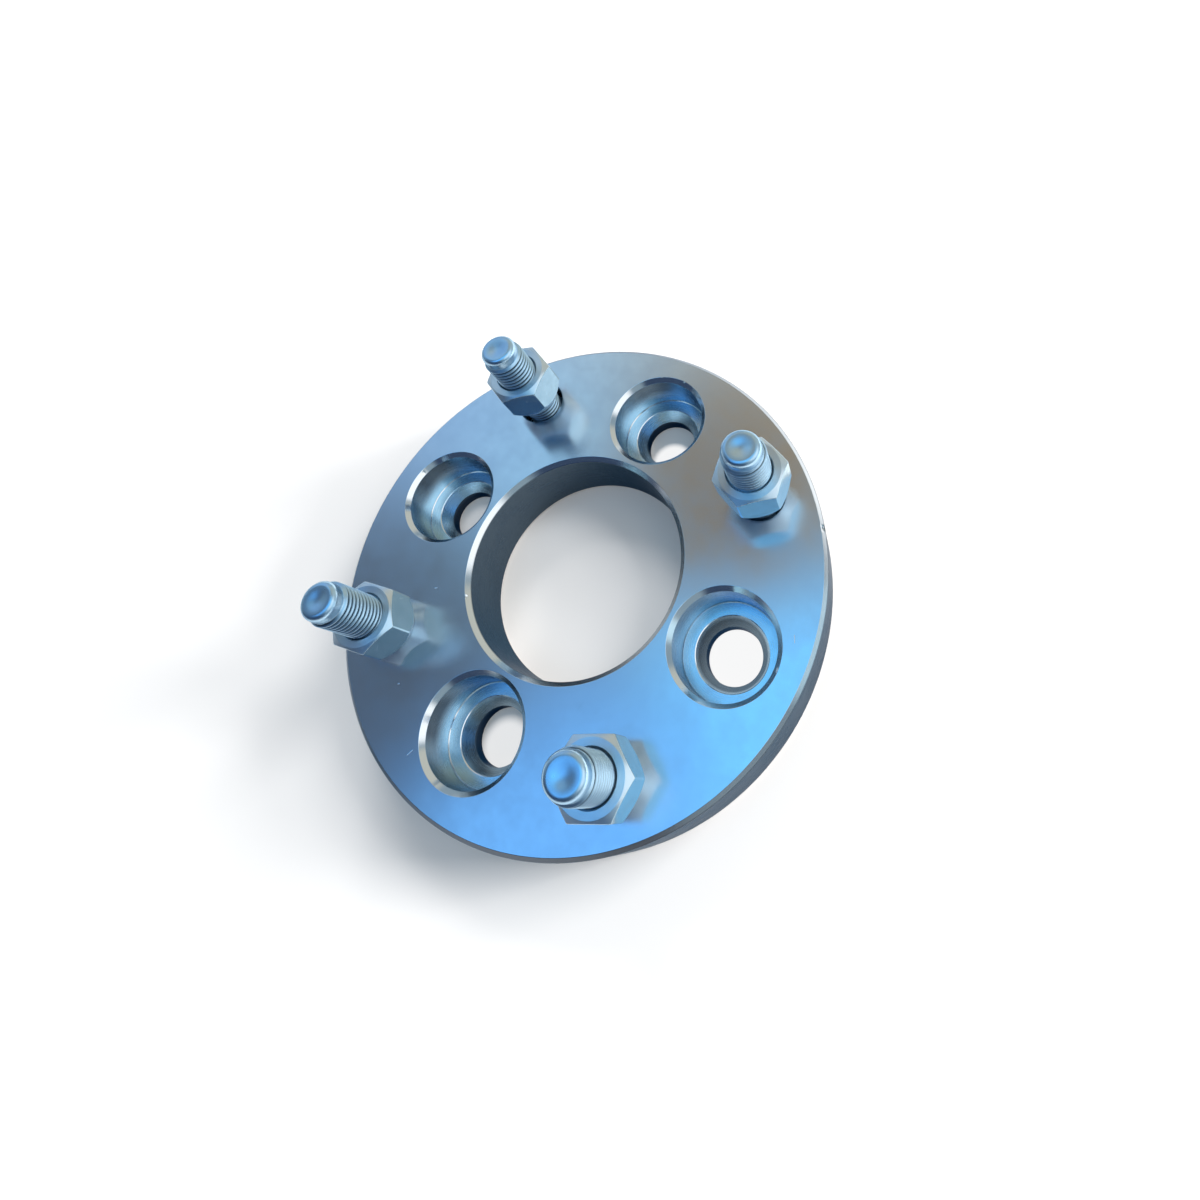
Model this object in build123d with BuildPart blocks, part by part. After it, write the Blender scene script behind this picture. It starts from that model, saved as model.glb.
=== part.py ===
from build123d import *
from math import cos, isclose, pi, radians, sin, tan
import os

# Wheel spacer that bolts to a four-stud hub: an aluminium disc, four pressed-in wheel studs and their nuts.
# Millimetres. The hub face lies on Z = 0, the studs point up along +Z, and the origin is the bore's centre on
# the hub face. The holes for the hub's own studs lie on X and Y, and the wheel studs half-way between them.

# Disc
DISC_THICKNESS = 22.0
RIM_WALL = 5.05
RIM_CHAMFER = 1.1
BORE_DIAMETER = 64.1
BORE_CHAMFER = 1.35

# Included angles: one for the nuts' cone and for all that it seats in, and one for the holes' bevelled rims
CONE_ANGLE = 60.0
BEVEL_ANGLE = 90.0

# Stepped holes for the hub's studs and for the nuts that hold the disc on, sunk below the wheel face
HOLE_COUNT = 4
HUB_CIRCLE_DIAMETER = 100.0
HUB_HOLE_DIAMETER = 16.0
HUB_HOLE_LAND = 4.7
HUB_HOLE_EDGE_BREAK = 0.5
SEAT_WIDTH = 2.3
POCKET_FLOOR_WIDTH = 3.7
POCKET_CHAMFER = 1.3

# Wheel studs, on a circle that is a step larger, with a head sunk in the hub face and a knurl in the disc
WHEEL_CIRCLE_STEP = 14.3
THREAD_DIAMETER = 11.9
THREAD_PITCH = 1.5
STUD_REACH = 32.4
KNURL_STEP = 1.18
KNURL_DEPTH = 0.4
KNURL_TEETH = 36
KNURL_END_DEPTH = 6.8
KNURL_CLEARANCE = 0.02
HEAD_SHOULDER = 1.85
HEAD_THICKNESS = 3.2
HEAD_CHAMFER = 0.6
HEAD_SINK = 3.0
RECESS_CLEARANCE = 0.8
RECESS_EDGE_BREAK = 0.5
STUD_MOUTH_WIDTH = 0.4

# Stud end: a groove after the last thread, then a plain pilot with a bevelled rim
GROOVE_DEPTH = 1.15
GROOVE_WIDTH = 0.5
PILOT_STEP = 0.9
PILOT_LENGTH = 3.1
PILOT_CHAMFER = 1.3

# Lug nuts: open at both ends, a cone below and chamfered corners above
NUT_ACROSS_FLATS = 18.0
NUT_HEX_HEIGHT = 11.5
NUT_TOP_RING_INSET = 0.6
NUT_TOP_CHAMFER_ANGLE = 30.0
NUT_COUNTERSINK = 0.55
NUT_NOSE_WALL = 0.8
NUT_BLANK_MARGIN = 1.0
THREAD_CLEARANCE = 0.05
SEAT_CLEARANCE = 0.03

# Nuts as they were left on the studs: turns backed off from the seated place, and where a corner points from X
NUT_TURNS_BACK = (3.0, 3.3, 0.0, 1.73)
NUT_CORNER_ANGLES = (38.5, 37.8, 12.2, 29.3)

# Sizes that follow
hole_step = 360.0 / HOLE_COUNT
cone_slope = tan(radians(CONE_ANGLE / 2))
seat_diameter = HUB_HOLE_DIAMETER + 2 * SEAT_WIDTH
pocket_diameter = seat_diameter + 2 * POCKET_FLOOR_WIDTH
pocket_floor = HUB_HOLE_LAND + SEAT_WIDTH / cone_slope
knurl_diameter = THREAD_DIAMETER + 2 * KNURL_STEP
stud_hole_diameter = knurl_diameter + 2 * KNURL_CLEARANCE
head_diameter = stud_hole_diameter + 2 * HEAD_SHOULDER
recess_diameter = head_diameter + 2 * RECESS_CLEARANCE
head_top = HEAD_SINK + HEAD_THICKNESS
stud_top = DISC_THICKNESS + STUD_REACH
wheel_circle_diameter = HUB_CIRCLE_DIAMETER + WHEEL_CIRCLE_STEP
disc_diameter = wheel_circle_diameter + recess_diameter + 2 * (RECESS_EDGE_BREAK + RIM_WALL)

wheel_face = Plane.XY.offset(DISC_THICKNESS)
hub_face = Plane.XY.rotated((180, 0, 0))


def rings(part: Part, diameter: float) -> ShapeList[Edge]:
    """Circular edges of one diameter."""
    return part.edges().filter_by(
        lambda edge: edge.geom_type == GeomType.CIRCLE and isclose(2 * edge.radius, diameter, abs_tol=0.001)
    )


def stud_foot(number: int) -> Vector:
    """Where a stud's axis meets the hub face."""
    angle = radians(hole_step * (number - 0.5))
    return Vector(cos(angle), sin(angle), 0) * wheel_circle_diameter / 2


def stud_section(number: int) -> Plane:
    """Upright plane through a stud's axis: X runs from the axis away from the bore, and Y runs up."""
    foot = stud_foot(number)
    return Plane(origin=foot, x_dir=foot, z_dir=foot.cross(Vector(0, 0, 1)))


def stud_axis(number: int) -> Axis:
    """A stud's own axis, pointing up."""
    return Axis(stud_foot(number), (0, 0, 1))


# Disc: a turned ring with its four rims chamfered
with BuildPart() as spacer_body:
    with BuildSketch(Plane.XY):
        Circle(disc_diameter / 2)
        Circle(BORE_DIAMETER / 2, mode=Mode.SUBTRACT)
    extrude(amount=DISC_THICKNESS)
    chamfer(rings(spacer_body.part, disc_diameter), length=RIM_CHAMFER)
    chamfer(rings(spacer_body.part, BORE_DIAMETER), length=BORE_CHAMFER)

    # Hub holes: a pocket from the wheel face, a cone seat in its floor, and a through hole broken at the hub face
    with Locations(wheel_face):
        with PolarLocations(HUB_CIRCLE_DIAMETER / 2, HOLE_COUNT):
            CounterSinkHole(
                radius=pocket_diameter / 2,
                counter_sink_radius=pocket_diameter / 2 + POCKET_CHAMFER,
                depth=DISC_THICKNESS - pocket_floor,
                counter_sink_angle=BEVEL_ANGLE,
            )
    with Locations(Plane.XY.offset(pocket_floor)):
        with PolarLocations(HUB_CIRCLE_DIAMETER / 2, HOLE_COUNT):
            CounterSinkHole(
                radius=HUB_HOLE_DIAMETER / 2,
                counter_sink_radius=seat_diameter / 2,
                counter_sink_angle=CONE_ANGLE,
            )
    with Locations(hub_face):
        with PolarLocations(HUB_CIRCLE_DIAMETER / 2, HOLE_COUNT):
            CounterSinkHole(
                radius=HUB_HOLE_DIAMETER / 2,
                counter_sink_radius=HUB_HOLE_DIAMETER / 2 + HUB_HOLE_EDGE_BREAK,
                depth=HUB_HOLE_LAND,
                counter_sink_angle=BEVEL_ANGLE,
            )

    # Stud holes: a small cone at the wheel face, and a recess for the head from the hub face
    with Locations(wheel_face):
        with PolarLocations(wheel_circle_diameter / 2, HOLE_COUNT, start_angle=hole_step / 2):
            CounterSinkHole(
                radius=stud_hole_diameter / 2,
                counter_sink_radius=stud_hole_diameter / 2 + STUD_MOUTH_WIDTH,
                counter_sink_angle=CONE_ANGLE,
            )
    with Locations(hub_face):
        with PolarLocations(wheel_circle_diameter / 2, HOLE_COUNT, start_angle=hole_step / 2):
            CounterSinkHole(
                radius=recess_diameter / 2,
                counter_sink_radius=recess_diameter / 2 + RECESS_EDGE_BREAK,
                depth=head_top,
                counter_sink_angle=BEVEL_ANGLE,
            )


def build_stud(number: int) -> Part:
    """A headed stud: flat head, straight knurl, shank at the thread's outer size, groove and pilot."""
    thread_radius = THREAD_DIAMETER / 2
    groove_radius = thread_radius - GROOVE_DEPTH
    pilot_radius = thread_radius - PILOT_STEP
    pilot_foot = stud_top - PILOT_LENGTH
    groove_foot = pilot_foot - GROOVE_WIDTH
    thread_end = groove_foot - GROOVE_DEPTH
    knurl_crest = Vector(knurl_diameter / 2, 0)
    knurl_root = Vector(knurl_diameter / 2 - KNURL_DEPTH, 0)
    half_tooth = 180 / KNURL_TEETH
    knurl_length = DISC_THICKNESS - KNURL_END_DEPTH - head_top
    with BuildPart() as stud:
        with BuildSketch(stud_section(number)):
            with BuildLine():
                Polyline(
                    (0, HEAD_SINK),
                    (head_diameter / 2 - HEAD_CHAMFER, HEAD_SINK),
                    (head_diameter / 2, HEAD_SINK + HEAD_CHAMFER),
                    (head_diameter / 2, head_top),
                    (thread_radius, head_top),
                    (thread_radius, thread_end),
                    (groove_radius, groove_foot),
                    (groove_radius, pilot_foot),
                    (pilot_radius, pilot_foot),
                    (pilot_radius, stud_top - PILOT_CHAMFER),
                    (pilot_radius - PILOT_CHAMFER, stud_top),
                    (0, stud_top),
                    close=True,
                )
            make_face()
        revolve(axis=stud_axis(number))
        # Knurl: pointed teeth side by side, from the head up to short of the wheel face
        with BuildSketch(Plane(stud_foot(number)).offset(head_top)):
            with BuildLine():
                corners = []
                for tooth in range(KNURL_TEETH):
                    corners.append(knurl_crest.rotate(Axis.Z, 2 * tooth * half_tooth))
                    corners.append(knurl_root.rotate(Axis.Z, (2 * tooth + 1) * half_tooth))
                Polyline(*corners, close=True)
            make_face()
        extrude(amount=knurl_length)
    return stud.part


def build_nut(number: int, turns_back: float, corner_angle: float) -> Part:
    """A nut on its stud: a hexagon bar cut to the outline that turning gives it."""
    flat_radius = NUT_ACROSS_FLATS / 2
    blank_radius = flat_radius / cos(pi / 6) + NUT_BLANK_MARGIN
    ring_radius = flat_radius - NUT_TOP_RING_INSET
    bore_radius = THREAD_DIAMETER / 2 + THREAD_CLEARANCE
    nose_radius = bore_radius + NUT_NOSE_WALL
    mouth_radius = stud_hole_diameter / 2 + STUD_MOUTH_WIDTH
    seated_nose = DISC_THICKNESS - (mouth_radius - nose_radius) / cone_slope + SEAT_CLEARANCE
    nose = seated_nose + turns_back * THREAD_PITCH
    top = nose + (flat_radius - nose_radius) / cone_slope + NUT_HEX_HEIGHT
    blank_foot = nose + (blank_radius - nose_radius) / cone_slope
    blank_top = top - (blank_radius - ring_radius) * tan(radians(NUT_TOP_CHAMFER_ANGLE))
    with BuildPart() as nut:
        with BuildSketch(Plane(stud_foot(number)).offset(nose)):
            RegularPolygon(flat_radius, 6, major_radius=False, rotation=corner_angle)
        extrude(amount=top - nose)
        with BuildSketch(stud_section(number)):
            with BuildLine():
                Polyline(
                    (bore_radius, nose),
                    (nose_radius, nose),
                    (blank_radius, blank_foot),
                    (blank_radius, blank_top),
                    (ring_radius, top),
                    (bore_radius + NUT_COUNTERSINK, top),
                    (bore_radius, top - NUT_COUNTERSINK),
                    close=True,
                )
            make_face()
        revolve(axis=stud_axis(number), mode=Mode.INTERSECT)
    return nut.part


os.makedirs("parts", exist_ok=True)
spacer_body.part.label = "spacer_body"
export_step(spacer_body.part, "parts/spacer_body.step")
for number in range(1, HOLE_COUNT + 1):
    place = (number - 1) % len(NUT_TURNS_BACK)
    stud = build_stud(number)
    stud.label = f"wheel_stud_{number}"
    export_step(stud, f"parts/{stud.label}.step")
    nut = build_nut(number, NUT_TURNS_BACK[place], NUT_CORNER_ANGLES[place])
    nut.label = f"lug_nut_{number}"
    export_step(nut, f"parts/{nut.label}.step")
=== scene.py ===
"""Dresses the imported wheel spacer: a turned disc, four plated studs with real threads, and their nuts.

Outlines are written in millimetres and meshes are made in metres, in the model's own frame: the hub face
lies on Z = 0 and the studs point up.
"""

import logging
from collections.abc import Iterable, Sequence
from dataclasses import dataclass, field
from enum import Enum
from math import atan, atan2, ceil, cos, hypot, pi, radians, sin, tan

import bpy
import numpy as np
from mathutils import Matrix, Vector, geometry, noise

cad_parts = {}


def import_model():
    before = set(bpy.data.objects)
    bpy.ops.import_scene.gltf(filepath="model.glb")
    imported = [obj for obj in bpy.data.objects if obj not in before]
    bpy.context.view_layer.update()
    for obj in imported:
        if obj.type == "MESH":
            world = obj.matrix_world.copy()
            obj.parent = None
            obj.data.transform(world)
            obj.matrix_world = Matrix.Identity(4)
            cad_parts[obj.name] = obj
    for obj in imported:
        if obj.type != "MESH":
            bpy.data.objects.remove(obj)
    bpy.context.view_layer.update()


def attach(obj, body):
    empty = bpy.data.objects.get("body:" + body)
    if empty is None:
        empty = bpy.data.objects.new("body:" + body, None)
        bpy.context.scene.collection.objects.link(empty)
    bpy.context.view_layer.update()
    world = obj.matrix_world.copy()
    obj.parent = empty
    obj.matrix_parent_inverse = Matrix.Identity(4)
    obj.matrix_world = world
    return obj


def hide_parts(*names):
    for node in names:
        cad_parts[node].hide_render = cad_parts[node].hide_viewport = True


MM = 0.001
BODY = "root"
HOLE_COUNT = 4
HUB_CIRCLE_RADIUS = 50.0
WHEEL_CIRCLE_RADIUS = 57.15
DISC_THICKNESS = 22.0
WHITE = (1.0, 1.0, 1.0)
CONE_SLOPE = tan(radians(30.0))  # of a 60 degree cone, against its axis
HALF_FLAT = pi / 6  # half the angle that one side of a hexagon takes
SHORT_RUN = 3.0  # millimetres between two corners of an outline
KEEN_SLOPES = (0.6, 0.95)  # how far up or down a freshly cut chamfer faces
FLAT_FACING = 0.999  # faces up or down by more than this only where it is flat
NOISE_RANGE = (0.3, 0.7)  # where most of a noise lies

log = logging.getLogger("wheel_spacer")
Socket = bpy.types.NodeSocket
Value = Socket | float | tuple[float, ...]
Corner = tuple[float, float, float]
Colour = tuple[float, float, float]
# a height in millimetres, and how bright painted shade leaves the metal there, from 0 to 1
Tone = tuple[float, float]


class Slot(Enum):
    """The record's material slots."""

    DISC = "disc"
    STUD = "stud"
    NUT = "nut"


# Node trees


@dataclass
class Nodes:
    """A node tree that is written as formulas."""

    tree: bpy.types.NodeTree

    def add(self, kind: str, **settings: object) -> bpy.types.Node:
        """Adds a node.

        Args:
            kind: The node's type.
            settings: The node's own settings, such as operation.

        Returns:
            The new node.
        """
        node = self.tree.nodes.new(kind)
        for name, value in settings.items():
            setattr(node, name, value)
        return node

    def feed(self, socket: Socket, value: Value) -> None:
        """Links a socket to another, or sets its value.

        Args:
            socket: The input.
            value: A socket to link from, or a constant. A colour is opaque.
        """
        if isinstance(value, Socket):
            self.tree.links.new(value, socket)
        else:
            socket.default_value = (*value, 1.0) if socket.type == "RGBA" else value

    def feed_all(self, sockets: Iterable[Socket], values: Sequence[Value]) -> None:
        """Feeds sockets in order, until the values end."""
        for socket, value in zip(sockets, values):
            self.feed(socket, value)

    def math(self, operation: str, *values: Value) -> Socket:
        """Does a sum on numbers.

        Args:
            operation: The Math node's operation.
            values: Its inputs in order.

        Returns:
            The result.
        """
        node = self.add("ShaderNodeMath", operation=operation)
        self.feed_all(node.inputs, values)
        return node.outputs[0]

    def vector(self, operation: str, *values: Value) -> Socket:
        """Does a sum on vectors.

        Args:
            operation: The Vector Math node's operation.
            values: Its inputs in order.

        Returns:
            The result, a number where the operation gives one.
        """
        node = self.add("ShaderNodeVectorMath", operation=operation)
        self.feed_all(node.inputs, values)
        return node.outputs["Value" if operation in ("LENGTH", "DOT_PRODUCT", "DISTANCE") else "Vector"]

    def scale(self, vector: Value, factor: Value) -> Socket:
        """Multiplies a vector by a number."""
        node = self.add("ShaderNodeVectorMath", operation="SCALE")
        self.feed(node.inputs[0], vector)
        self.feed(node.inputs["Scale"], factor)
        return node.outputs["Vector"]

    def split(self, vector: Value) -> tuple[Socket, ...]:
        """Gives the three parts of a vector."""
        node = self.add("ShaderNodeSeparateXYZ")
        self.feed(node.inputs[0], vector)
        return tuple(node.outputs)

    def join(self, x: Value, y: Value, z: Value) -> Socket:
        """Makes a vector from three numbers."""
        node = self.add("ShaderNodeCombineXYZ")
        self.feed_all(node.inputs, (x, y, z))
        return node.outputs[0]

    def spread(
        self, value: Value, low: Value, high: Value, to_low: float, to_high: float, soft: bool = False
    ) -> Socket:
        """Maps a range of a number to another range and holds it there.

        Args:
            value: The number.
            low: Start of its range.
            high: End of its range.
            to_low: What the start becomes.
            to_high: What the end becomes.
            soft: Whether the ends are eased.

        Returns:
            The mapped number.
        """
        node = self.add("ShaderNodeMapRange", interpolation_type="SMOOTHSTEP" if soft else "LINEAR")
        self.feed_all(node.inputs, (value, low, high, to_low, to_high))
        return node.outputs[0]

    def noise(self, vector: Value, scale: float, detail: float = 2.0, roughness: float = 0.5) -> Socket:
        """Gives a smooth random number between 0 and 1.

        Args:
            vector: Where it is read.
            scale: Bumps per unit of the vector.
            detail: How many finer layers it has.
            roughness: How strong the finer layers are.

        Returns:
            The number.
        """
        node = self.add("ShaderNodeTexNoise")
        self.feed(node.inputs["Vector"], vector)
        node.inputs["Scale"].default_value = scale
        node.inputs["Detail"].default_value = detail
        node.inputs["Roughness"].default_value = roughness
        return node.outputs["Fac"]

    def blend(self, factor: Value, first: Value, second: Value) -> Socket:
        """Mixes two colours.

        Args:
            factor: 0 for the first and 1 for the second.
            first: A colour.
            second: A colour.

        Returns:
            The mixed colour.
        """
        node = self.add("ShaderNodeMix", data_type="RGBA")
        self.feed(node.inputs["Factor"], factor)
        self.feed_all((socket for socket in node.inputs if socket.type == "RGBA"), (first, second))
        return next(socket for socket in node.outputs if socket.type == "RGBA")

    def mix(self, factor: Value, first: Value, second: Value) -> Socket:
        """Mixes two numbers: 0 gives the first and 1 the second."""
        node = self.add("ShaderNodeMix", data_type="FLOAT")
        self.feed_all((socket for socket in node.inputs if socket.type == "VALUE"), (factor, first, second))
        return node.outputs[0]

    def bump(self, height: Value, depth: float, below: Value | None = None) -> Socket:
        """Tilts the surface as a height says.

        Args:
            height: The height, from 0 to 1.
            depth: What a height of 1 stands for, in millimetres.
            below: A normal that this one builds on.

        Returns:
            The normal.
        """
        node = self.add("ShaderNodeBump")
        node.inputs["Distance"].default_value = depth * MM
        self.feed(node.inputs["Height"], height)
        if below is not None:
            self.feed(node.inputs["Normal"], below)
        return node.outputs[0]

    def add_where(self, value: Value, where: Value, more: float) -> Socket:
        """Adds to a number where a mask is 1."""
        return self.math("ADD", value, self.math("MULTIPLY", where, more))

    def rays(self) -> tuple[Socket, Socket]:
        """Whether a ray is the camera's, and whether it is a glossy or a transmission ray."""
        path = self.add("ShaderNodeLightPath").outputs
        return path["Is Camera Ray"], self.math("MAXIMUM", path["Is Glossy Ray"], path["Is Transmission Ray"])

    def attribute(self, name: str, part: str) -> Socket:
        """Reads one of the piece's own attributes, as its Vector or its Fac."""
        return self.add("ShaderNodeAttribute", attribute_name=name).outputs[part]

    def place(self) -> Socket:
        """The point on the piece, in metres."""
        return self.add("ShaderNodeTexCoord").outputs["Object"]


@dataclass(frozen=True)
class Scratch:
    """A short scratch on the wheel face: its ends and its width, in millimetres."""

    start: tuple[float, float]
    end: tuple[float, float]
    width: float


@dataclass(frozen=True)
class MetalFinish:
    """A metal's colour and gloss, before a part's own marks."""

    name: str
    pale: Colour
    deep: Colour
    smooth: float
    rough: float
    anisotropy: float = 0.0
    patch_size: float = 9.0
    gloss_edge: tuple[float, float] = (0.25, 0.75)

    def paint(self, nodes: Nodes, shader: bpy.types.Node) -> None:
        """Feeds the shader with the metal's own marks.

        Args:
            nodes: The material's nodes.
            shader: Its Principled shader.
        """
        raise NotImplementedError

    def material(self) -> bpy.types.Material:
        """Makes the material.

        Returns:
            The material.
        """
        material = bpy.data.materials.new(self.name)
        material.use_nodes = True
        material.node_tree.nodes.clear()
        nodes = Nodes(material.node_tree)
        shader = nodes.add("ShaderNodeBsdfPrincipled")
        shader.inputs["Metallic"].default_value = 1.0
        shader.inputs["Anisotropic"].default_value = self.anisotropy
        output = nodes.add("ShaderNodeOutputMaterial")
        nodes.feed(output.inputs["Surface"], shader.outputs[0])
        self.paint(nodes, shader)
        return material

    def patches(self, nodes: Nodes) -> tuple[Socket, Socket]:
        """Colour and roughness that drift over the metal.

        Args:
            nodes: The material's nodes.

        Returns:
            The colour and the roughness.
        """
        drift = nodes.noise(nodes.place(), 1 / (self.patch_size * MM), detail=4.0, roughness=0.6)
        even = nodes.spread(drift, *NOISE_RANGE, 0.0, 1.0)
        colour = nodes.blend(even, self.deep, self.pale)
        return colour, nodes.spread(drift, *self.gloss_edge, self.rough, self.smooth)


@dataclass(frozen=True)
class FacedFinish(MetalFinish):
    """Aluminium faced on a lathe: rings about the disc's axis, which stretch a reflection across them."""

    feed_width: float = 0.11
    ring_depth: float = 0.0008
    ring_change: float = 1.5
    broad_feeds: float = 14.0
    broad_edge: tuple[float, float] = (0.35, 0.65)
    broad_share: float = 0.12
    broad_depth: float = 0.0032
    smudge: Colour = (0.42, 0.42, 0.43)
    smudge_size: float = 5.0
    smudge_edge: tuple[float, float] = (0.6, 0.85)
    smudge_share: float = 0.08
    bare: Colour = (0.93, 0.93, 0.92)
    scratch_roughness: float = 0.3
    scratch_depth: float = 0.02
    scratches: tuple[Scratch, ...] = ()

    def scratch_mask(self, nodes: Nodes) -> Socket:
        """How much of a scratch is at a point.

        Args:
            nodes: The material's nodes.

        Returns:
            1 in a scratch and 0 elsewhere.
        """
        place = nodes.vector("MULTIPLY", nodes.place(), (1.0, 1.0, 0.0))
        total: Value = 0.0
        for scratch in self.scratches:
            start = Vector((*scratch.start, 0)) * MM
            along = Vector((*scratch.end, 0)) * MM - start
            from_start = nodes.vector("SUBTRACT", place, tuple(start))
            share = nodes.vector("DOT_PRODUCT", from_start, tuple(along / along.length_squared))
            share = nodes.math("MAXIMUM", nodes.math("MINIMUM", share, 1.0), 0.0)
            gap = nodes.vector("DISTANCE", from_start, nodes.scale(tuple(along), share))
            mark = nodes.spread(gap, 0.0, scratch.width * MM, 1.0, 0.0, soft=True)
            total = nodes.math("MAXIMUM", total, mark)
        return total

    def paint(self, nodes: Nodes, shader: bpy.types.Node) -> None:
        """See MetalFinish."""
        place = nodes.place()
        flat = nodes.vector("MULTIPLY", place, (1.0, 1.0, 0.0))
        outward = nodes.vector("NORMALIZE", flat)
        radius = nodes.vector("LENGTH", flat)
        across = nodes.math("DIVIDE", radius, self.feed_width * MM)
        x, y, _ = nodes.split(outward)
        wide_x, wide_y = (nodes.math("MULTIPLY", part, self.ring_change) for part in (x, y))
        rings = nodes.noise(nodes.join(wide_x, wide_y, across), 1.0, detail=3.0)
        broad = nodes.noise(nodes.join(x, y, nodes.math("DIVIDE", across, self.broad_feeds)), 1.0)
        colour, roughness = self.patches(nodes)
        smudge = nodes.noise(place, 1 / (self.smudge_size * MM))
        smudge = nodes.spread(smudge, *self.smudge_edge, 0.0, self.smudge_share, soft=True)
        colour = nodes.blend(smudge, colour, self.smudge)
        broad_share = nodes.spread(broad, *self.broad_edge, 0.0, self.broad_share)
        colour = nodes.blend(broad_share, colour, self.deep)
        scratch = self.scratch_mask(nodes)
        nodes.feed(shader.inputs["Base Color"], nodes.blend(scratch, colour, self.bare))
        nodes.feed(shader.inputs["Roughness"], nodes.add_where(roughness, scratch, self.scratch_roughness))
        nodes.feed(shader.inputs["Tangent"], outward)
        normal = nodes.bump(rings, self.ring_depth)
        normal = nodes.bump(broad, self.broad_depth, normal)
        uncut = nodes.math("SUBTRACT", 1.0, scratch)
        nodes.feed(shader.inputs["Normal"], nodes.bump(uncut, self.scratch_depth, normal))


@dataclass(frozen=True)
class TurnedFinish(MetalFinish):
    """Aluminium bored or chamfered on a lathe or mill: rings about each hole's own axis."""

    feed_width: float = 0.16
    ring_depth: float = 0.0005
    ring_roughness: tuple[float, float] = (-0.025, 0.03)
    coarse_feeds: float = 4.5
    coarse_edge: tuple[float, float] = (0.35, 0.7)
    coarse_share: float = 0.08
    cut: Colour = (0.84, 0.89, 0.92)
    cut_roughness: float = 0.14
    # painted shade: the near-black blue that walls, holes and the rim are darkened towards
    painted_shade_colour: Colour = (0.035, 0.05, 0.075)
    edge_tint: Colour = (0.3, 0.36, 0.44)

    def paint(self, nodes: Nodes, shader: bpy.types.Node) -> None:
        """See MetalFinish."""
        nodes.feed(shader.inputs["Specular Tint"], self.edge_tint)
        turned = nodes.attribute("turned", "Vector")
        x, y, along = nodes.split(turned)
        across = nodes.math("DIVIDE", along, self.feed_width)
        rings = nodes.noise(nodes.join(x, y, across), 1.0, detail=3.0, roughness=0.6)
        wide = nodes.math("DIVIDE", across, self.coarse_feeds)
        coarse = nodes.noise(nodes.join(x, y, wide), 1.0, detail=1.0)
        colour, roughness = self.patches(nodes)
        coarse_share = nodes.spread(coarse, *self.coarse_edge, 0.0, self.coarse_share)
        colour = nodes.blend(coarse_share, colour, self.deep)
        roughness = nodes.math("ADD", roughness, nodes.spread(rings, *NOISE_RANGE, *self.ring_roughness))
        keen = nodes.attribute("keen", "Fac")
        colour = nodes.blend(keen, colour, self.cut)
        # painted shade: below 1, the shade attribute darkens the metal towards that near-black blue
        shade = nodes.attribute("shade", "Fac")
        nodes.feed(shader.inputs["Base Color"], nodes.blend(shade, self.painted_shade_colour, colour))
        nodes.feed(shader.inputs["Roughness"], nodes.mix(keen, roughness, self.cut_roughness))
        nodes.feed(shader.inputs["Tangent"], nodes.attribute("across", "Vector"))
        normal = nodes.bump(rings, self.ring_depth)
        nodes.feed(shader.inputs["Normal"], nodes.bump(coarse, self.ring_depth, normal))


@dataclass(frozen=True)
class PlatedThreadFinish(MetalFinish):
    """Plated steel: bright thread crests, roots darkened by painted shade and rougher, and a forged head."""

    # painted shade: the near-black colour that the deep thread roots are darkened towards
    root: Colour = (0.03, 0.05, 0.075)
    root_edge: tuple[float, float] = (0.2, 0.7)
    root_least: float = 0.85
    root_roughness: float = 0.2
    edge_tint: Colour = (0.4, 0.46, 0.54)
    grain_size: float = 0.5
    grain_depth: float = 0.005
    forged: Colour = (0.5, 0.51, 0.52)
    forged_deep: Colour = (0.3, 0.31, 0.32)
    forged_top: float = 4.2
    forged_fade: float = 0.6
    forged_roughness: float = 0.16
    scale_size: float = 1.1
    scale_edge: tuple[float, float] = (0.35, 0.65)
    scale_depth: float = 0.25

    def paint(self, nodes: Nodes, shader: bpy.types.Node) -> None:
        """See MetalFinish."""
        nodes.feed(shader.inputs["Specular Tint"], self.edge_tint)
        place = nodes.place()
        colour, roughness = self.patches(nodes)
        grain = nodes.noise(place, 1 / (self.grain_size * MM), detail=4.0, roughness=0.6)
        cut = nodes.attribute("cut", "Fac")
        # painted shade: the deeper the thread is cut, the darker, with a little noise
        deep_in = nodes.spread(cut, *self.root_edge, 0.0, 1.0, soft=True)
        painted_root_shade = nodes.math("MULTIPLY", deep_in, nodes.spread(grain, *NOISE_RANGE, self.root_least, 1.0))
        colour = nodes.blend(painted_root_shade, colour, self.root)
        _, _, height = nodes.split(place)
        low, high = self.forged_top * MM, (self.forged_top + self.forged_fade) * MM
        head = nodes.spread(height, low, high, 1.0, 0.0, soft=True)
        scale = nodes.noise(place, 1 / (self.scale_size * MM), detail=5.0, roughness=0.65)
        skin = nodes.blend(nodes.spread(scale, *self.scale_edge, 0.0, 1.0), self.forged_deep, self.forged)
        nodes.feed(shader.inputs["Base Color"], nodes.blend(head, colour, skin))
        for dull, more in ((painted_root_shade, self.root_roughness), (head, self.forged_roughness)):
            roughness = nodes.add_where(roughness, dull, more)
        nodes.feed(shader.inputs["Roughness"], roughness)
        normal = nodes.bump(grain, self.grain_depth)
        rough_head = nodes.math("MULTIPLY", scale, head)
        nodes.feed(shader.inputs["Normal"], nodes.bump(rough_head, self.scale_depth, normal))


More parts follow.
